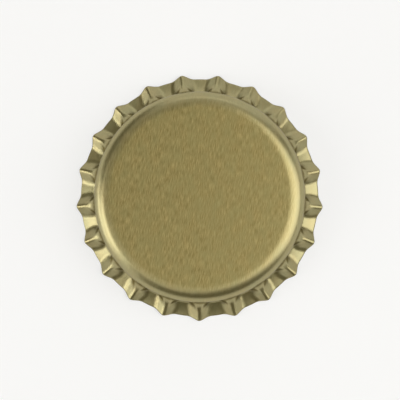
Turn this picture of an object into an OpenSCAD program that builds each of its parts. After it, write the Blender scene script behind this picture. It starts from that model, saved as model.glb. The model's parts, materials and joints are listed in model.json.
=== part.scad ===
// Crown cap: a fluted sheet-metal shell that carries a moulded sealing liner.
// The origin is on the axis, in the plane that the skirt's rim stands on, with +Z up to the panel.

/* [Shell] */
// Overall height, from the rim between the teeth to the top of the panel
cap_h = 6.0; // [5.6:0.1:7.0]
// Inside diameter of the neck, which slides over the bottle's mouth
neck_id = 26.75; // [26.0:0.05:27.5]
// Height of the straight neck, between the shoulder bend and the teeth
neck_h = 0.6; // [0.4:0.1:1.0]
// Outside radius of the shoulder bend, above the neck
shoulder_r = 1.8; // [1.4:0.1:2.2]
// Outside radius of the softer bend at the panel's edge
edge_r = 3.6; // [2.4:0.1:4.5]
// Angle that the softer bend turns through
edge_turn = 12; // [4:1:20]
// Thickness of the sheet
sheet_t = 0.24; // [0.18:0.01:0.30]

/* [Teeth] */
// Number of teeth around the rim
teeth = 21; // [18:1:24]
// Diameter across the tooth tips
tip_d = 32.1; // [31.6:0.1:33.0]
// Diameter of the rim between the teeth
valley_d = 30.95; // [30.4:0.05:31.2]
// Height of the tooth tips over the rim between them
tip_rise = 0.7; // [0.4:0.05:1.0]
// Slope of a ridge where it leaves the neck, measured from the axis
ridge_lean = 5; // [0:1:10]
// Radius of the bend where a ridge turns out
ridge_bend_r = 1.9; // [1.4:0.05:2.2]
// Middle slope of a ridge's flare, measured from the axis
ridge_flare = 62; // [58:1:68]
// Angle that a ridge's flare turns through itself
ridge_curl = 4; // [2:1:10]
// Radius of the bend where a valley turns out from the neck
valley_bend_r = 0.45; // [0.3:0.05:1.4]
// Middle slope of a valley's flare, measured from the axis
valley_flare = 66; // [58:1:68]
// Angle that a valley's flare turns through itself
valley_curl = 12; // [2:1:16]

/* [Ridges] */
// Half width of a ridge's flat front where it leaves the neck, as a share of the pitch
front_share = 0.09; // [0.06:0.01:0.14]
// Half width of a ridge's foot where it leaves the neck, as a share of the pitch
neck_foot_share = 0.31; // [0.28:0.01:0.34]
// Half width of a ridge's foot where its front has narrowed to a crest, as a share of the pitch
crest_foot_share = 0.42; // [0.36:0.01:0.46]
// Half width of a ridge's foot at the rim, as a share of the pitch
rim_foot_share = 0.36; // [0.32:0.001:0.42]
// Half width of the round along a ridge's crest, as a share of the pitch
crest_round_share = 0.065; // [0.03:0.005:0.1]
// Width of the round along a ridge's foot, as a share of the pitch
foot_round_share = 0.18; // [0.08:0.01:0.22]

/* [Liner] */
// Thickness of the liner's film, inside the sealing ring
film_t = 0.3; // [0.2:0.05:0.4]
// Inside diameter of the sealing ring
ring_id = 20.0; // [18.0:0.5:21.0]
// Thickness of the sealing ring between its beads
ring_t = 0.6; // [0.5:0.05:0.7]
// Radius of the inner bead, which seals on top of the bottle's lip
inner_bead_r = 0.3; // [0.2:0.05:0.35]
// Radius of the outer bead, which seals round the lip's corner
outer_bead_r = 0.5; // [0.4:0.05:0.55]
// Land between the outer bead and the liner's edge
bead_land = 0.1; // [0.05:0.05:0.3]

/* [Hidden] */
$fn = 96;

gold_lacquer = [0.72, 0.65, 0.42];
liner_white = [0.86, 0.88, 0.87];

// How finely the skirt is faceted: around one tooth, and from the neck to the rim
facets_per_tooth = 10;
facets_down_skirt = 10;
// Share by which the facets crowd together on a tooth's crest
crest_crowding = 0.35;
// Small step used to measure the slope of the skirt, in degrees and as a share of its length
slope_step = 0.01;
// Direction of the first tooth, about the axis
first_tooth = -90;

// A ridge's flat front narrows to a crest between these shares of the way down the skirt
crest_starts = 0.25;
crest_whole = 0.72;
// Widths of the rounds along a ridge's front and foot at the neck, as shares of the pitch
front_round_share = 0.13;
neck_foot_round_share = 0.09;

// How far the shoulder bend stands proud of the softer one, so that their arcs cross
bend_proud = 0.0005;
// How far the skirt stands proud of the neck where the two join, and how far they overlap
join_proud = 0.02;
join_overlap = 0.2;
// How far a cut runs past the face that it opens
cut_past = 1;
// Running gap between the liner's edge and the neck
liner_gap = 0.05;

pitch = 360 / teeth;
neck_ir = neck_id / 2;
neck_or = neck_ir + sheet_t;
ceiling_z = cap_h - sheet_t;

// The shoulder bend ends at this height, and the skirt hangs from the next, at this radius
shoulder_z = cap_h - edge_r + (edge_r - shoulder_r) * cos(edge_turn) + bend_proud;
skirt_top = shoulder_z - neck_h;
skirt_r = neck_or + join_proud;

// The liner's beads lie at these radii
outer_bead_at = neck_ir - liner_gap - bead_land - outer_bead_r;
inner_bead_at = (ring_id / 2 + outer_bead_at) / 2;
bead_z = ceiling_z - ring_t;

function between(low, high, share) = low + (high - low) * share;

// A line down the skirt, from the neck to a radius and height at the rim: a wall and a flare with a
// bend between them. The bend is limited by what the wall and the flare leave it, and the flare
// itself turns through the curl. It is kept as the wall's slope, the bend's radius, the slope where
// the flare starts, the flare's radius, and the lengths of the wall, the bend and the flare.
function line_down(end_r, end_z, lean, bend_r, flare, curl) =
    let (out = end_r - skirt_r,
         down = skirt_top - end_z,
         turn = flare - lean,
         wall = (down * sin(flare) - out * cos(flare)) / sin(turn),
         chord = (out * cos(lean) - down * sin(lean)) / sin(turn),
         wall_taken = (cos(curl / 2) - cos(turn)) / sin(turn),
         chord_taken = (1 - cos(turn - curl / 2)) / sin(turn),
         fitted_r = min(bend_r, wall / wall_taken, chord / chord_taken),
         flare_r = (chord - fitted_r * chord_taken) / (2 * sin(curl / 2)),
         bend = (turn - curl / 2) * PI / 180)
    [lean, fitted_r, flare - curl / 2, flare_r,
     wall - fitted_r * wall_taken, fitted_r * bend, flare_r * curl * PI / 180];

ridge_rim = ridge_flare + ridge_curl / 2;
valley_rim = valley_flare + valley_curl / 2;
crest_line = line_down(tip_d / 2, tip_rise + sheet_t * sin(ridge_rim),
                       ridge_lean, ridge_bend_r, ridge_flare, ridge_curl);
valley_line = line_down(valley_d / 2, sheet_t * sin(valley_rim),
                        0, valley_bend_r, valley_flare, valley_curl);

// Radius and height of a point on such a line, at a share u of the way from the neck to the rim
function line_point(line, u) =
    let (lean = line[0], bend_r = line[1], turned = line[2], flare_r = line[3],
         wall = line[4], bend = line[5], flared = line[6],
         run = u * (wall + bend + flared),
         on_wall = min(run, wall),
         slope = lean + min(max(run - wall, 0), bend) / bend_r * 180 / PI,
         flare = turned + max(run - wall - bend, 0) / flare_r * 180 / PI)
    [skirt_r + on_wall * sin(lean) + bend_r * (cos(lean) - cos(slope))
         + flare_r * (cos(turned) - cos(flare)),
     skirt_top - on_wall * cos(lean) - bend_r * (sin(slope) - sin(lean))
         - flare_r * (sin(flare) - sin(turned))];

// A ramp from 0 at x = 0 to 1 at x = 1, rounded over its first and last shares. The first round
// takes no more than the last one leaves it.
function rounded_ramp(x, rise, fall) =
    let (risen = min(rise, 1 - fall),
         steepest = 1 / (1 - (risen + fall) / 2))
    x <= 0 ? 0 :
    x >= 1 ? 1 :
    x < risen ? steepest * x * x / (2 * risen) :
    x > 1 - fall ? 1 - steepest * (1 - x) * (1 - x) / (2 * fall) :
    steepest * (x - risen / 2);

// Height of a ridge's section, 1 on the crest and 0 in the valley
function ridge_share(angle, u) =
    let (turns = (angle - first_tooth) / pitch,
         off_crest = abs(turns - round(turns)),
         opened = min(max((u - crest_starts) / (crest_whole - crest_starts), 0), 1),
         smooth = opened * opened * (3 - 2 * opened),
         beyond = max(u - crest_whole, 0) / (1 - crest_whole),
         front = between(front_share, 0, smooth),
         whole_foot = between(crest_foot_share, rim_foot_share, beyond),
         foot = between(neck_foot_share, whole_foot, smooth),
         rise = between(front_round_share, crest_round_share, smooth),
         fall = between(neck_foot_round_share, foot_round_share, smooth),
         flank = foot - front)
    1 - rounded_ramp((off_crest - front) / flank, rise / flank, fall / flank);

// A point on the outside of the skirt
function skin_point(angle, u) =
    let (rz = between(line_point(valley_line, u), line_point(crest_line, u), ridge_share(angle, u)))
    [rz[0] * cos(angle), rz[0] * sin(angle), rz[1]];

// The direction square to the sheet at that point. The sheet leaves the neck upright.
function skin_normal(angle, u) =
    let (along = skin_point(angle + slope_step, u) - skin_point(angle - slope_step, u),
         down = skin_point(angle, u + slope_step) - skin_point(angle, u - slope_step),
         out = cross(down, along))
    u == 0 ? [cos(angle), sin(angle), 0] : out / norm(out);

function crowded(share) = share - crest_crowding * sin(360 * share) / (2 * PI);

// The shape that a puck sweeps, this far inside the shell's outside at its top and round its edge
module puck(radius, inset, bottom) {
    top = cap_h - inset;
    bend_at = radius - (shoulder_r - inset);
    edge_at = bend_at - (edge_r - shoulder_r) * sin(edge_turn);
    meet_at = edge_at + (edge_r - inset) * sin(edge_turn);
    rotate_extrude() {
        translate([0, bottom]) square([edge_at, top - bottom]);
        translate([0, bottom]) square([radius, shoulder_z - bottom]);
        intersection() {
            translate([edge_at, cap_h - edge_r]) circle(edge_r - inset);
            translate([edge_at, shoulder_z]) square([meet_at - edge_at, top - shoulder_z]);
        }
        intersection() {
            translate([bend_at, shoulder_z]) circle(shoulder_r - inset);
            translate([bend_at, shoulder_z]) square([radius - bend_at, top - shoulder_z]);
        }
    }
}

// The fluted skirt, as one closed ring of sheet
module skirt() {
    angles = [for (tooth = [0:teeth - 1], j = [0:facets_per_tooth - 1])
        first_tooth + (tooth + crowded(j / facets_per_tooth)) * pitch];
    shares = [for (i = [0:facets_down_skirt]) i / facets_down_skirt];
    outside = [for (u = shares) [for (angle = angles) skin_point(angle, u)]];
    inside = [for (u = shares) [for (angle = angles)
        skin_point(angle, u) - sheet_t * skin_normal(angle, u)]];
    rings = concat(outside, [for (i = [facets_down_skirt:-1:0]) inside[i]]);
    around = len(angles);
    loops = len(rings);
    polyhedron(
        points = [for (ring = rings, point = ring) point],
        faces = [for (i = [0:loops - 1], j = [0:around - 1])
            let (next_i = (i + 1) % loops, next_j = (j + 1) % around)
            [i * around + j, i * around + next_j,
             next_i * around + next_j, next_i * around + j]],
        convexity = 8);
}

// One stamped sheet: the panel, the shoulder bend and the neck, with the skirt below them
module crown_shell() {
    color(gold_lacquer)
    difference() {
        union() {
            puck(neck_or, 0, skirt_top - join_overlap);
            skirt();
        }
        puck(neck_ir, sheet_t, -cut_past);
    }
}

// The liner's section: a film under the panel, and a sealing ring with two beads
module liner_section() {
    translate([0, ceiling_z - film_t]) square([ring_id / 2, film_t]);
    translate([ring_id / 2, bead_z]) square([neck_ir - ring_id / 2, ring_t]);
    translate([inner_bead_at, bead_z]) circle(inner_bead_r);
    translate([outer_bead_at, bead_z]) circle(outer_bead_r);
}

module sealing_liner() {
    color(liner_white)
    intersection() {
        puck(neck_ir - liner_gap, sheet_t, skirt_top);
        rotate_extrude() liner_section();
    }
}

crown_shell();
sealing_liner();
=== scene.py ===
"""A crown cork for a glass bottle: a gold lacquered, fluted shell over a moulded sealing liner.

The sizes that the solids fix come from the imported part. One operator makes each piece, and one
more sets up the studio that shows it.
"""

import json
import math

import bmesh
import bpy
from mathutils import Matrix, Quaternion, Vector


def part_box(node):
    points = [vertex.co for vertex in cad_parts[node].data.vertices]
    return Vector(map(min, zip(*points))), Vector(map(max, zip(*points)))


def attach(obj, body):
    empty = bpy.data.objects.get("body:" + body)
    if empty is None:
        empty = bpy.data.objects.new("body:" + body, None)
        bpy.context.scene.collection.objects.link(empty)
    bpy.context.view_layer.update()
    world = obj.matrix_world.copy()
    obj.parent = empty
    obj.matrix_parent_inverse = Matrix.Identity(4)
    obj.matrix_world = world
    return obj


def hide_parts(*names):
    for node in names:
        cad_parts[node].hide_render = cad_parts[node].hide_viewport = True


bl_info = {
    "name": "Crown Cork",
    "version": (1, 0, 0),
    "blender": (4, 5, 0),
    "location": "View3D > Sidebar > Crown Cork",
    "description": "Makes a fluted crown cork with its sealing liner, and a studio to show it in",
    "category": "Add Mesh",
}

MM = 0.001

# How finely the pieces are made: round each tooth and down it, and round the turned pieces
COLUMNS_PER_TOOTH = 40
RINGS_DOWN_SKIRT = 28
LINER_STEPS = 256
FLOOR_STEPS = 64
BACKDROP_STEPS = 24

# The hollow beside a ridge's foot, where shade is painted into the gold: its middle in pitches off the
# crest and as a share of the way down the skirt, and its spread
HOLLOW_OFF_CREST = 0.27
HOLLOW_DOWN = 0.58
HOLLOW_SPREAD = 0.07

# Distance past the panel's edge over which the lacquer is drawn thin
DRAWN_OVER = 1.2 * MM

# Tints of the brushing marks, and how far they fade in worn patches and where the sheet is drawn
DARK_MARK = (0.71, 0.71, 0.58)
PALE_MARK = (1.29, 1.29, 1.42)
WORN_FADE = 0.4
DRAWN_FADE = 0.7

# Tints of the faint patches across the panel
WARM_PATCH = (1.03, 0.99, 0.96)
COOL_PATCH = (0.97, 1.01, 1.04)

# The studio: a round floor that curls up at its edge, a curved backdrop, lamps and a camera
FLOOR_RADIUS = 0.9
FLOOR_CURL = 0.3
BACKDROP_RADIUS = 0.6
BACKDROP_HEIGHT = 0.39
BACKDROP_STARTS = math.radians(42)
BACKDROP_SWEEPS = math.radians(70)
LAMP_DISTANCE = 0.5
CAMERA_DISTANCE = 0.34
CAMERA_ELEVATION = math.radians(88.4)
CAMERA_AIM = Vector((0.048 * MM, -0.292 * MM, 0.3 * MM))
CAMERA_ROLL = math.radians(0.19)
CAMERA_LENS = 234.6

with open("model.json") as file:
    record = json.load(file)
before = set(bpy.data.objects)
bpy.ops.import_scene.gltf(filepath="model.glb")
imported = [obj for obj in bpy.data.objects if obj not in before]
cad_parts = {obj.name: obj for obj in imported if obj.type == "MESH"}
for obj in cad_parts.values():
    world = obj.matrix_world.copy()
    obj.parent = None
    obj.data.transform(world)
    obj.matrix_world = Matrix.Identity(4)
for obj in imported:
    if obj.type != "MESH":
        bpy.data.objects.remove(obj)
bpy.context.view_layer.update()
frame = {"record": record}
shell_low, shell_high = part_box("crown_shell")
liner_low, liner_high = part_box("sealing_liner")
mounts = {mount["name"]: mount for mount in frame["record"]["mounts"]}


# Settings


def length(name, description, default):
    return bpy.props.FloatProperty(
        name=name, description=description, default=default,
        min=0.0, precision=5, subtype="DISTANCE", unit="LENGTH")


def angle(name, description, degrees):
    return bpy.props.FloatProperty(
        name=name, description=description, default=math.radians(degrees),
        subtype="ANGLE", unit="ROTATION")


def fraction(name, description, default):
    return bpy.props.FloatProperty(
        name=name, description=description, default=default, min=0.0, max=10.0)


def colour(name, description, default):
    return bpy.props.FloatVectorProperty(
        name=name, description=description, default=default,
        size=3, min=0.0, max=1.0, subtype="COLOR")


class ShellSettings(bpy.types.PropertyGroup):
    """Sizes and colours of the stamped shell."""

    height: length("Height", "From the rim between the teeth to the panel's top", shell_high.z)
    neck_radius: length(
        "Neck radius", "Inside radius of the neck", mounts["bottle_mouth"]["dims"]["r_mm"] * MM)
    neck_height: length("Neck height", "Straight neck between the shoulder and the teeth", 0.6 * MM)
    shoulder_radius: length("Shoulder radius", "Outside radius of the shoulder bend", 1.79 * MM)
    edge_radius: length("Edge radius", "Radius of the softer bend at the panel's edge", 3.6 * MM)
    edge_turn: angle("Edge turn", "Angle that the softer bend turns through", 12)
    sheet: length("Sheet", "Thickness of the tinplate", 0.24 * MM)
    teeth: bpy.props.IntProperty(
        name="Teeth", description="Number of teeth around the rim", default=21, min=12, max=30)
    tip_radius: length("Tip radius", "Radius at the tooth tips", -shell_low.y)
    valley_radius: length("Valley radius", "Radius of the rim between the teeth", 15.478 * MM)
    tip_rise: length("Tip rise", "Height of the tooth tips over the rim between them", 0.7 * MM)
    ridge_lean: angle("Ridge lean", "Slope of a ridge at the neck, from the axis", 5)
    ridge_bend: length("Ridge bend", "Radius of the bend where a ridge turns out", 1.9 * MM)
    ridge_flare: angle("Ridge flare", "Middle slope of a ridge's flare, from the axis", 62)
    ridge_curl: angle("Ridge curl", "Angle that a ridge's flare turns through itself", 4)
    valley_bend: length("Valley bend", "Radius of the bend where a valley turns out", 0.45 * MM)
    valley_flare: angle("Valley flare", "Middle slope of a valley's flare, from the axis", 66)
    valley_curl: angle("Valley curl", "Angle that a valley's flare turns through itself", 12)
    front: fraction("Front", "Half width of a ridge's flat front at the neck, in pitches", 0.09)
    front_round: fraction("Front round", "Width of the round along that front, in pitches", 0.13)
    neck_foot: fraction("Foot at the neck", "Half width of a ridge there, in pitches", 0.31)
    neck_foot_round: fraction(
        "Foot round at the neck", "Width of the round along a ridge's foot there, in pitches", 0.09)
    crest_starts: fraction("Crest starts", "Share of the skirt at which the front narrows", 0.25)
    crest_whole: fraction("Crest whole", "Share of the skirt at which it is a crest", 0.72)
    crest_foot: fraction("Foot at the crest", "Half width of a ridge there, in pitches", 0.42)
    rim_foot: fraction("Foot at the rim", "Half width of a ridge there, in pitches", 0.36)
    crest_round: fraction("Crest round", "Half width of the round along a crest, in pitches", 0.065)
    foot_round: fraction("Foot round", "Width of the round along a ridge's foot, in pitches", 0.18)
    grain_turn: angle("Grain turn", "How far the brushing marks turn from Y towards X", 8.4)
    lacquer: colour("Lacquer", "Gold of the lacquer on the flat panel", (0.398, 0.325, 0.123))
    drawn_lacquer: colour(
        "Drawn lacquer", "Gold where the stroke stretched the lacquer thin", (0.36, 0.317, 0.152))
    # Painted shade: a darker gold that stands in for the shade in the hollows beside each ridge's foot
    hollow_shade_gold: colour(
        "Painted hollow shade", "Gold in the hollows beside a ridge's foot", (0.17, 0.143, 0.058))
    bare_steel: colour("Bare steel", "Colour of the cut edge along the rim", (0.52, 0.52, 0.50))


class LinerSettings(bpy.types.PropertyGroup):
    """Sizes and colour of the moulded liner."""

    film: length("Film", "Thickness inside the sealing ring", 0.3 * MM)
    ring_radius: length("Ring radius", "Inside radius of the sealing ring", 10.0 * MM)
    ring: length("Ring", "Thickness of the sealing ring between its beads", 0.6 * MM)
    inner_bead: length("Inner bead", "Radius of the inner bead", 0.3 * MM)
    outer_bead: length("Outer bead", "Radius of the outer bead", 0.5 * MM)
    land: length("Land", "Land between the outer bead and the liner's edge", 0.1 * MM)
    gap: length("Gap", "Gap between the liner's edge and the neck", 0.05 * MM)
    compound: colour("Compound", "Colour of the moulded compound", (0.62, 0.63, 0.60))


class StudioSettings(bpy.types.PropertyGroup):
    """Floor, lamps and camera."""

    floor: colour("Floor", "Colour of the paper floor and backdrop", (0.9, 0.9, 0.9))
    glow: fraction("Paper glow", "Share of the paper's look that is plain white", 0.6)
    room: colour("Room", "Colour of the room's own light", (1.0, 0.92, 0.62))
    ambience: fraction("Ambience", "Brightness of the room", 0.17)
    right_lamps: fraction("Right lamps", "Brightness of the two softboxes on the right", 1.95)
    left_lamps: fraction("Left lamps", "Brightness of the two softboxes on the left", 3.2)
    fill_lamps: fraction("Fill lamps", "Brightness of the weak softboxes", 0.32)


# Helpers for meshes


def arc(centre, radius, start, end, steps):
    """Points (radius, height) on an arc, both of its ends among them. Angles are in degrees."""
    turn = [math.radians(start + (end - start) * i / steps) for i in range(steps + 1)]
    return [(centre[0] + radius * math.cos(t), centre[1] + radius * math.sin(t)) for t in turn]


def spin(bm, geom, steps, turn, duplicate=False):
    """Sweep geometry about the axis, or place copies of it. A full turn is joined to its start."""
    bmesh.ops.spin(
        bm, geom=geom, cent=(0, 0, 0), axis=(0, 0, 1), dvec=(0, 0, 0), angle=turn, steps=steps,
        use_merge=turn == math.tau, use_normal_flip=False, use_duplicate=duplicate)


def spun(outline, steps, turn=math.tau, layers=None):
    """A bmesh that sweeps an outline of (radius, height) points about the axis.

    layers holds a list of values for each name, one value for each point, kept as a float layer.
    """
    bm = bmesh.new()
    kept = {name: bm.verts.layers.float.new(name) for name in layers or {}}
    verts = [bm.verts.new((radius, 0, height)) for radius, height in outline]
    for name, layer in kept.items():
        for vert, value in zip(verts, layers[name]):
            vert[layer] = value
    edges = [bm.edges.new(pair) for pair in zip(verts, verts[1:])]
    spin(bm, verts + edges, steps, turn)
    return bm


def close_up(bm):
    """Merge what meets, and turn every face outwards."""
    bmesh.ops.remove_doubles(bm, verts=bm.verts, dist=1e-7)
    bmesh.ops.recalc_face_normals(bm, faces=bm.faces)


def piece(bm, name, material):
    """A smooth-shaded object made from a bmesh, which is freed."""
    mesh = bpy.data.meshes.new(name)
    bm.to_mesh(mesh)
    bm.free()
    mesh.shade_smooth()
    mesh.materials.append(material)
    made = bpy.data.objects.new(name, mesh)
    bpy.context.scene.collection.objects.link(made)
    return made


# Helpers for materials


def blank_material(name):
    material = bpy.data.materials.new(name)
    material.use_nodes = True
    material.node_tree.nodes.clear()
    return material, material.node_tree


def add_node(tree, kind, inputs=None, **settings):
    """A node with its settings and its inputs, each given as a value or as a socket to link."""
    node = tree.nodes.new(kind)
    for name, value in settings.items():
        setattr(node, name, value)
    for key, value in (inputs or {}).items():
        socket = node.inputs[key]
        if isinstance(value, bpy.types.NodeSocket):
            tree.links.new(value, socket)
        else:
            socket.default_value = value
    return node


def surfaced(tree, inputs):
    """End a material in a Principled shader with these inputs."""
    surface = add_node(tree, "ShaderNodeBsdfPrincipled", inputs)
    add_node(tree, "ShaderNodeOutputMaterial", {"Surface": surface.outputs["BSDF"]})


def rgba(rgb):
    return (*rgb, 1.0)


# The shell


class SkirtLine:
    """A line down the skirt, from the neck to the rim: a wall, a bend and a flare with a curl.

    Slopes are measured from the axis. A share runs from 0 at the neck to 1 at the rim.
    """

    def __init__(self, start, end, lean, bend_radius, flare, curl):
        out = end[0] - start[0]
        down = start[1] - end[1]
        turn = flare - lean
        wall = (down * math.sin(flare) - out * math.cos(flare)) / math.sin(turn)
        chord = (out * math.cos(lean) - down * math.sin(lean)) / math.sin(turn)
        wall_taken = (math.cos(curl / 2) - math.cos(turn)) / math.sin(turn)
        chord_taken = (1 - math.cos(turn - curl / 2)) / math.sin(turn)
        self.start = start
        self.lean = lean
        self.turned = flare - curl / 2
        self.bend_radius = min(bend_radius, wall / wall_taken, chord / chord_taken)
        self.wall = wall - self.bend_radius * wall_taken
        self.bend = self.bend_radius * (self.turned - lean)
        self.flare_radius = (chord - self.bend_radius * chord_taken) / (2 * math.sin(curl / 2))
        self.flared = self.flare_radius * curl

    def point(self, share):
        run = share * (self.wall + self.bend + self.flared)
        wall = min(run, self.wall)
        bend = self.lean + min(max(run - self.wall, 0), self.bend) / self.bend_radius
        flare = self.turned + max(run - self.wall - self.bend, 0) / self.flare_radius
        return Vector((
            self.start[0] + wall * math.sin(self.lean)
            + self.bend_radius * (math.cos(self.lean) - math.cos(bend))
            + self.flare_radius * (math.cos(self.turned) - math.cos(flare)),
            self.start[1] - wall * math.cos(self.lean)
            - self.bend_radius * (math.sin(bend) - math.sin(self.lean))
            - self.flare_radius * (math.sin(flare) - math.sin(self.turned))))


class Skirt:
    """The outside of the fluted skirt."""

    def __init__(self, cap):
        self.cap = cap
        self.pitch = math.tau / cap.teeth
        start = (cap.neck_radius + cap.sheet, skirt_top(cap))
        valley_rim = cap.valley_flare + cap.valley_curl / 2
        crest_rim = cap.ridge_flare + cap.ridge_curl / 2
        valley_end = (cap.valley_radius, cap.sheet * math.sin(valley_rim))
        crest_end = (cap.tip_radius, cap.tip_rise + cap.sheet * math.sin(crest_rim))
        self.valley = SkirtLine(
            start, valley_end, 0.0, cap.valley_bend, cap.valley_flare, cap.valley_curl)
        self.crest = SkirtLine(
            start, crest_end, cap.ridge_lean, cap.ridge_bend, cap.ridge_flare, cap.ridge_curl)

    def ridge(self, off_crest, share):
        """Height of a ridge's section, 1 on its crest and 0 in the valley."""
        cap = self.cap
        narrowed = (share - cap.crest_starts) / (cap.crest_whole - cap.crest_starts)
        narrowed = min(max(narrowed, 0), 1)
        narrowed = narrowed * narrowed * (3 - 2 * narrowed)
        beyond = max(share - cap.crest_whole, 0) / (1 - cap.crest_whole)
        whole_foot = between(cap.crest_foot, cap.rim_foot, beyond)
        front = between(cap.front, 0, narrowed)
        flank = between(cap.neck_foot, whole_foot, narrowed) - front
        rise = between(cap.front_round, cap.crest_round, narrowed) / flank
        fall = between(cap.neck_foot_round, cap.foot_round, narrowed) / flank
        return 1 - rounded_ramp((off_crest - front) / flank, rise, fall)

    def off_crest(self, around):
        """Distance from the nearest crest, in pitches, at an angle about the axis."""
        turns = (around + math.pi / 2) / self.pitch
        return abs(turns - round(turns))

    def hollow(self, around, share):
        """How deep a point lies in the hollow where a ridge's foot meets the flare, from 0 to 1: the
        mask for the shade painted there.
        """
        across = (self.off_crest(around) - HOLLOW_OFF_CREST) / HOLLOW_SPREAD
        down = (share - HOLLOW_DOWN) / HOLLOW_SPREAD
        return math.exp(-across * across - down * down)

    def point(self, around, share):
        """The point at an angle about the axis."""
        valley, crest = self.valley.point(share), self.crest.point(share)
        radius, z = valley.lerp(crest, self.ridge(self.off_crest(around), share))
        return Vector((radius * math.cos(around), radius * math.sin(around), z))


def between(low, high, share):
    return low + (high - low) * share


def rounded_ramp(x, rise, fall):
    """A ramp from 0 at x = 0 to 1 at x = 1, rounded over its first and last shares.

    The first round takes no more than the last one leaves it.
    """
    x = min(max(x, 0.0), 1.0)
    rise = min(rise, 1 - fall)
    steepest = 1 / (1 - (rise + fall) / 2)
    if x < rise:
        return steepest * x * x / (2 * rise)
    if x > 1 - fall:
        return 1 - steepest * (1 - x) ** 2 / (2 * fall)
    return steepest * (x - rise / 2)


def shoulder(cap):
    """Points down the shoulder: a soft bend at the panel's edge, then a tighter one to the neck."""
    outside = cap.neck_radius + cap.sheet
    tight_at = outside - cap.shoulder_radius
    soft_at = tight_at - (cap.edge_radius - cap.shoulder_radius) * math.sin(cap.edge_turn)
    tight_z = cap.height - cap.edge_radius + (
        cap.edge_radius - cap.shoulder_radius) * math.cos(cap.edge_turn)
    turned = 90 - math.degrees(cap.edge_turn)
    soft = arc((soft_at, cap.height - cap.edge_radius), cap.edge_radius, 90, turned, steps=6)
    return soft + arc((tight_at, tight_z), cap.shoulder_radius, turned, 0, steps=14)[1:]


def skirt_top(cap):
    return shoulder(cap)[-1][1] - cap.neck_height


def shell_outline(cap, valley, rings):
    """Points from the panel's centre to the rim, and the share of the skirt at each."""
    bend = shoulder(cap)
    panel = [(bend[0][0] * out, cap.height) for out in (0.0, 0.5, 0.95)]
    neck = [(bend[-1][0], bend[-1][1] - cap.neck_height * i / 3) for i in range(1, 3)]
    above = panel + bend + neck
    shares = [i / rings for i in range(rings + 1)]
    return above + [tuple(valley.point(s)) for s in shares], [-1.0] * len(above) + shares


def shell_mesh(cap):
    """The outside of the shell as a bmesh, with a map of the flat sheet that it was pressed from."""
    skirt = Skirt(cap)
    outline, shares = shell_outline(cap, skirt.valley, RINGS_DOWN_SKIRT)
    reach = [0.0]
    for one, other in zip(outline, outline[1:]):
        reach.append(reach[-1] + math.dist(one, other))
    layers = {"share": shares, "reach": reach, "hollow": [0.0] * len(outline)}
    bm = spun(outline, COLUMNS_PER_TOOTH, skirt.pitch, layers)
    share_layer = bm.verts.layers.float["share"]
    reach_layer = bm.verts.layers.float["reach"]
    hollow_layer = bm.verts.layers.float["hollow"]
    for vert in bm.verts:
        if vert[share_layer] > 0:
            around = math.atan2(vert.co.y, vert.co.x)
            vert.co = skirt.point(around, vert[share_layer])
            # The hollow's depth is kept as a mask for the shade painted into the gold
            vert[hollow_layer] = skirt.hollow(around, vert[share_layer])
    one_tooth = bm.verts[:] + bm.edges[:] + bm.faces[:]
    spin(bm, one_tooth, cap.teeth - 1, math.tau - skirt.pitch, duplicate=True)
    close_up(bm)
    sheet_map = bm.loops.layers.uv.new("sheet")
    along_grain = Matrix.Rotation(cap.grain_turn, 2)
    for face in bm.faces:
        for loop in face.loops:
            towards = along_grain @ loop.vert.co.to_2d().normalized()
            loop[sheet_map].uv = towards * loop.vert[reach_layer] / MM
    return bm


def grain_group():
    """Rolling and brushing marks in tinplate: fine lines that run along Y of a map in millimetres."""
    if "Brushed Grain" in bpy.data.node_groups:
        return bpy.data.node_groups["Brushed Grain"]
    group = bpy.data.node_groups.new("Brushed Grain", "ShaderNodeTree")
    for name, default in (("Width", 0.12), ("Length", 2.0)):
        socket = group.interface.new_socket(name, in_out="INPUT", socket_type="NodeSocketFloat")
        socket.default_value = default
    group.interface.new_socket("Map", in_out="INPUT", socket_type="NodeSocketVector")
    group.interface.new_socket("Lines", in_out="OUTPUT", socket_type="NodeSocketFloat")
    given = add_node(group, "NodeGroupInput").outputs
    size = add_node(group, "ShaderNodeCombineXYZ", {"X": given["Width"], "Y": given["Length"], "Z": 1.0})
    scaled = add_node(
        group, "ShaderNodeVectorMath", {0: given["Map"], 1: size.outputs[0]}, operation="DIVIDE")
    noise = add_node(
        group, "ShaderNodeTexNoise",
        {"Vector": scaled.outputs[0], "Scale": 1.0, "Detail": 3.0, "Roughness": 0.6})
    add_node(group, "NodeGroupOutput", {"Lines": noise.outputs["Fac"]})
    return group


def add_grain(tree, width, length):
    node = add_node(tree, "ShaderNodeGroup", node_tree=grain_group())
    sheet = add_node(tree, "ShaderNodeUVMap", uv_map="sheet")
    tree.links.new(sheet.outputs["UV"], node.inputs["Map"])
    node.inputs["Width"].default_value = width
    node.inputs["Length"].default_value = length
    return node.outputs["Lines"]


def mixed(tree, factor, first, second, blend="MIX"):
    """The colour that a Mix node gives. Its colour sockets share their names with others."""
    node = tree.nodes.new("ShaderNodeMix")
    node.data_type = "RGBA"
    node.blend_type = blend
    wanted = {"Factor_Float": factor, "A_Color": first, "B_Color": second}
    for socket in node.inputs:
        value = wanted.get(socket.identifier)
        if isinstance(value, bpy.types.NodeSocket):
            tree.links.new(value, socket)
        elif value is not None:
            socket.default_value = value
    return next(socket for socket in node.outputs if socket.identifier == "Result_Color")


def stretched(tree, noise, low=0.0, high=1.0):
    """The middle range of a noise, stretched to run from low to high."""
    node = add_node(
        tree, "ShaderNodeMapRange",
        {"Value": noise, "From Min": 0.3, "From Max": 0.7, "To Min": low, "To Max": high})
    return node.outputs["Result"]


def worked_out(tree, operation, first, second):
    return add_node(tree, "ShaderNodeMath", {0: first, 1: second}, operation=operation).outputs[0]


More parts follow.
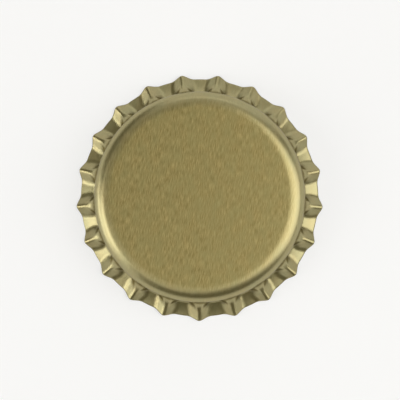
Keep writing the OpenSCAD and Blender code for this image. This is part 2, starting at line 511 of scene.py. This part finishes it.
def gold_lacquer(cap):
    """Satin gold lacquer over brushed tinplate, paler where the stroke stretched it thin, with shade
    painted darker into the hollows beside each ridge's foot.
    """
    material, tree = blank_material("gold_lacquer")
    fine = add_grain(tree, 0.12, 1.0)
    coarse = add_grain(tree, 0.45, 1.3)
    cloud = add_grain(tree, 1.6, 2.8)
    sheet = add_node(tree, "ShaderNodeUVMap", uv_map="sheet").outputs["UV"]
    reach = add_node(tree, "ShaderNodeVectorMath", {0: sheet}, operation="LENGTH").outputs["Value"]
    edge = shoulder(cap)[0][0] / MM
    drawn = add_node(
        tree, "ShaderNodeMapRange",
        {"Value": reach, "From Min": edge, "From Max": edge + DRAWN_OVER / MM}).outputs["Result"]
    gold = mixed(tree, drawn, rgba(cap.lacquer), rgba(cap.drawn_lacquer))
    # Painted shade: the gold darkens towards the middle of each hollow beside a ridge's foot
    hollow = add_node(tree, "ShaderNodeAttribute", attribute_name="hollow").outputs["Fac"]
    gold = mixed(tree, hollow, gold, rgba(cap.hollow_shade_gold))

    # The marks fade in patches, and where the sheet is drawn
    worn = add_node(
        tree, "ShaderNodeMapRange",
        {"Value": cloud, "From Min": 0.42, "From Max": 0.6, "To Max": WORN_FADE}).outputs["Result"]
    faded = worked_out(tree, "MAXIMUM", worn, worked_out(tree, "MULTIPLY", drawn, DRAWN_FADE))
    marks = mixed(tree, stretched(tree, fine), rgba(DARK_MARK), rgba(PALE_MARK))
    marks = mixed(tree, faded, marks, rgba((1.0, 1.0, 1.0)))
    patches = mixed(tree, stretched(tree, cloud), rgba(WARM_PATCH), rgba(COOL_PATCH))
    streaked = mixed(tree, 1.0, mixed(tree, 1.0, gold, marks, "MULTIPLY"), patches, "MULTIPLY")

    depth = add_node(
        tree, "ShaderNodeMapRange", {"Value": drawn, "To Min": 0.25, "To Max": 0.08})
    bump = add_node(
        tree, "ShaderNodeBump",
        {"Height": worked_out(tree, "ADD", fine, coarse), "Strength": depth.outputs["Result"],
         "Distance": 0.004 * MM})
    surfaced(tree, {
        "Base Color": streaked, "Metallic": 1.0, "Roughness": stretched(tree, fine, 0.29, 0.39),
        "Normal": bump.outputs["Normal"], "Specular Tint": (0.55, 0.5, 0.35, 1.0),
        "Coat Weight": 0.6, "Coat Roughness": 0.27, "Coat IOR": 1.5})
    return material


def cut_edge(cap):
    """Bare steel, sheared across the grain."""
    material, tree = blank_material("cut_edge")
    roughness = stretched(tree, add_grain(tree, 0.08, 0.3), 0.35, 0.6)
    surfaced(tree, {"Base Color": rgba(cap.bare_steel), "Metallic": 1.0, "Roughness": roughness})
    return material


# The liner


def liner_outline(cap, liner):
    """The liner's section: a film, a sealing ring with two beads, and an edge in the shoulder."""
    ceiling = liner_high.z
    edge = liner_high.x
    bend = cap.shoulder_radius - cap.sheet
    ring_z = ceiling - liner.ring
    outer_at = cap.neck_radius - liner.gap - liner.land - liner.outer_bead
    inner_at = (liner.ring_radius + outer_at) / 2
    film = [(liner.ring_radius * i / 8, ceiling - liner.film) for i in range(9)]
    inner = arc((inner_at, ring_z), liner.inner_bead, 180, 360, steps=12)
    outer = arc((outer_at, ring_z), liner.outer_bead, 180, 360, steps=16)
    corner = arc((edge - bend, ceiling - bend), bend, 20, 90, steps=10)
    return film + [(liner.ring_radius, ring_z)] + inner + outer + corner + [(0.0, ceiling)]


def liner_compound(liner):
    """Soft, slightly cloudy moulded compound."""
    material, tree = blank_material("liner_compound")
    place = add_node(tree, "ShaderNodeTexCoord").outputs["Object"]
    cloud = add_node(
        tree, "ShaderNodeTexNoise", {"Vector": place, "Scale": 900.0, "Detail": 4.0}).outputs["Fac"]
    shade = stretched(tree, cloud, 0.92, 1.06)
    tint = mixed(tree, 1.0, rgba(liner.compound), shade, "MULTIPLY")
    bump = add_node(
        tree, "ShaderNodeBump", {"Height": cloud, "Strength": 0.3, "Distance": 0.02 * MM})
    surfaced(tree, {
        "Base Color": tint, "Roughness": 0.42, "Normal": bump.outputs["Normal"],
        "Subsurface Weight": 0.3, "Subsurface Radius": (0.4 * MM,) * 3, "Subsurface Scale": 1.0})
    return material


# The studio


def paper(studio):
    """Pale paper that looks the same to the eye and to the metal, and still takes a shadow."""
    material, tree = blank_material("studio_paper")
    matte = add_node(tree, "ShaderNodeBsdfDiffuse", {"Color": rgba(studio.floor)})
    glow = add_node(tree, "ShaderNodeEmission", {"Color": rgba((1.0, 1.0, 1.0)), "Strength": 1.0})
    ray = add_node(tree, "ShaderNodeLightPath").outputs
    seen = worked_out(tree, "ADD", ray["Is Camera Ray"], ray["Is Glossy Ray"])
    seen = worked_out(tree, "ADD", seen, ray["Is Transmission Ray"])
    both = add_node(
        tree, "ShaderNodeMixShader",
        {0: worked_out(tree, "MULTIPLY", seen, studio.glow), 1: matte.outputs["BSDF"],
         2: glow.outputs["Emission"]})
    add_node(tree, "ShaderNodeOutputMaterial", {"Surface": both.outputs["Shader"]})
    return material


def softbox(name, azimuth, zenith, width, height, brightness):
    """An area lamp that faces the cap, at degrees about the axis and degrees down from it."""
    azimuth, zenith = math.radians(azimuth), math.radians(zenith)
    data = bpy.data.lights.new(name, "AREA")
    data.shape = "RECTANGLE"
    data.size = width
    data.size_y = height
    data.energy = brightness * math.pi * width * height
    lamp = bpy.data.objects.new(name, data)
    towards = Vector((
        math.sin(zenith) * math.cos(azimuth), math.sin(zenith) * math.sin(azimuth),
        math.cos(zenith)))
    lamp.location = towards * LAMP_DISTANCE
    lamp.rotation_euler = towards.to_track_quat("Z", "Y").to_euler()
    bpy.context.scene.collection.objects.link(lamp)
    return lamp


# Operators


class CROWN_OT_shell(bpy.types.Operator):
    """Press the fluted shell and finish it in gold lacquer."""

    bl_idname = "crown.shell"
    bl_label = "Press the Shell"

    def execute(self, context):
        cap = context.scene.crown_shell
        shell = piece(shell_mesh(cap), "pressed_shell", gold_lacquer(cap))
        sheet = shell.modifiers.new("sheet", "SOLIDIFY")
        sheet.thickness = cap.sheet
        sheet.offset = -1
        sheet.use_quality_normals = True
        sheet.material_offset_rim = 1
        shell.data.materials.append(cut_edge(cap))
        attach(shell, "root")
        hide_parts("crown_shell")
        return {"FINISHED"}


class CROWN_OT_liner(bpy.types.Operator):
    """Mould the sealing liner into the shell."""

    bl_idname = "crown.liner"
    bl_label = "Mould the Liner"

    def execute(self, context):
        cap = context.scene.crown_shell
        liner = context.scene.crown_liner
        bm = spun(liner_outline(cap, liner), LINER_STEPS)
        close_up(bm)
        moulded = piece(bm, "moulded_liner", liner_compound(liner))
        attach(moulded, "root")
        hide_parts("sealing_liner")
        return {"FINISHED"}


class CROWN_OT_studio(bpy.types.Operator):
    """Set up the paper, the lamps and the camera."""

    bl_idname = "crown.studio"
    bl_label = "Set Up the Studio"

    def execute(self, context):
        studio = context.scene.crown_studio
        self.lay_paper(studio)
        self.light(context.scene, studio)
        self.point_camera(context.scene)
        return {"FINISHED"}

    def lay_paper(self, studio):
        white = paper(studio)
        curl = arc((FLOOR_RADIUS, FLOOR_CURL), FLOOR_CURL, -90, -50, steps=8)
        round_sheet = spun([(0.0, 0.0)] + curl, FLOOR_STEPS)
        close_up(round_sheet)
        floor = piece(round_sheet, "studio_floor", white)
        side = [(BACKDROP_RADIUS, 0.0), (BACKDROP_RADIUS, BACKDROP_HEIGHT)]
        tall_sheet = spun(side, BACKDROP_STEPS, BACKDROP_SWEEPS)
        bmesh.ops.rotate(
            tall_sheet, cent=(0, 0, 0), matrix=Matrix.Rotation(BACKDROP_STARTS, 3, "Z"),
            verts=tall_sheet.verts)
        backdrop = piece(tall_sheet, "studio_backdrop", white)

    def light(self, scene, studio):
        right, left, fill = studio.right_lamps, studio.left_lamps, studio.fill_lamps
        softbox("right_high", 0, 27, 0.42, 0.26, right)
        softbox("right_low", -5, 58, 0.44, 0.34, 1.04 * right)
        softbox("left_high", 196, 54, 0.26, 0.26, left)
        softbox("left_low", 190, 83, 0.34, 0.13, 1.05 * left)
        softbox("left_fill", 220, 72, 0.2, 0.25, 2.9 * fill)
        softbox("front_fill", 240, 25, 0.3, 0.3, 1.65 * fill)
        softbox("back_fill", 90, 54, 0.5, 0.4, 1.15 * fill)
        softbox("overhead", 0, 0, 1.0, 1.0, 0.6 * fill)
        world = bpy.data.worlds.new("room")
        world.use_nodes = True
        world.node_tree.nodes["Background"].inputs["Color"].default_value = rgba(studio.room)
        world.node_tree.nodes["Background"].inputs["Strength"].default_value = studio.ambience
        scene.world = world

    def point_camera(self, scene):
        data = bpy.data.cameras.new("camera")
        data.sensor_width = 36.0
        data.lens = CAMERA_LENS
        data.clip_start = 0.01
        data.clip_end = 10.0
        camera = bpy.data.objects.new("camera", data)
        back = Vector((0.0, -math.cos(CAMERA_ELEVATION), math.sin(CAMERA_ELEVATION)))
        roll = Quaternion((0.0, 0.0, 1.0), CAMERA_ROLL)
        camera.location = CAMERA_AIM + back * CAMERA_DISTANCE
        camera.rotation_mode = "QUATERNION"
        camera.rotation_quaternion = (-back).to_track_quat("-Z", "Y") @ roll
        scene.collection.objects.link(camera)
        scene.camera = camera
        scene.view_settings.view_transform = "Standard"


class CROWN_PT_maker(bpy.types.Panel):
    """Lists the steps that make the crown cork, and their settings."""

    bl_label = "Crown Cork"
    bl_idname = "CROWN_PT_maker"
    bl_space_type = "VIEW_3D"
    bl_region_type = "UI"
    bl_category = "Crown Cork"

    def draw(self, context):
        for step, settings in STEPS:
            box = self.layout.box()
            box.operator(step.bl_idname)
            group = getattr(context.scene, settings)
            for name in group.__annotations__:
                box.prop(group, name)


STEPS = (
    (CROWN_OT_shell, "crown_shell"),
    (CROWN_OT_liner, "crown_liner"),
    (CROWN_OT_studio, "crown_studio"),
)
SETTINGS = {
    "crown_shell": ShellSettings,
    "crown_liner": LinerSettings,
    "crown_studio": StudioSettings,
}
CLASSES = (*SETTINGS.values(), *(step for step, _ in STEPS), CROWN_PT_maker)


def register():
    for cls in CLASSES:
        bpy.utils.register_class(cls)
    for name, group in SETTINGS.items():
        setattr(bpy.types.Scene, name, bpy.props.PointerProperty(type=group))


def unregister():
    for name in SETTINGS:
        delattr(bpy.types.Scene, name)
    for cls in reversed(CLASSES):
        bpy.utils.unregister_class(cls)


def main():
    register()
    bpy.ops.crown.shell()
    bpy.ops.crown.liner()
    bpy.ops.crown.studio()


if __name__ == "__main__":
    main()
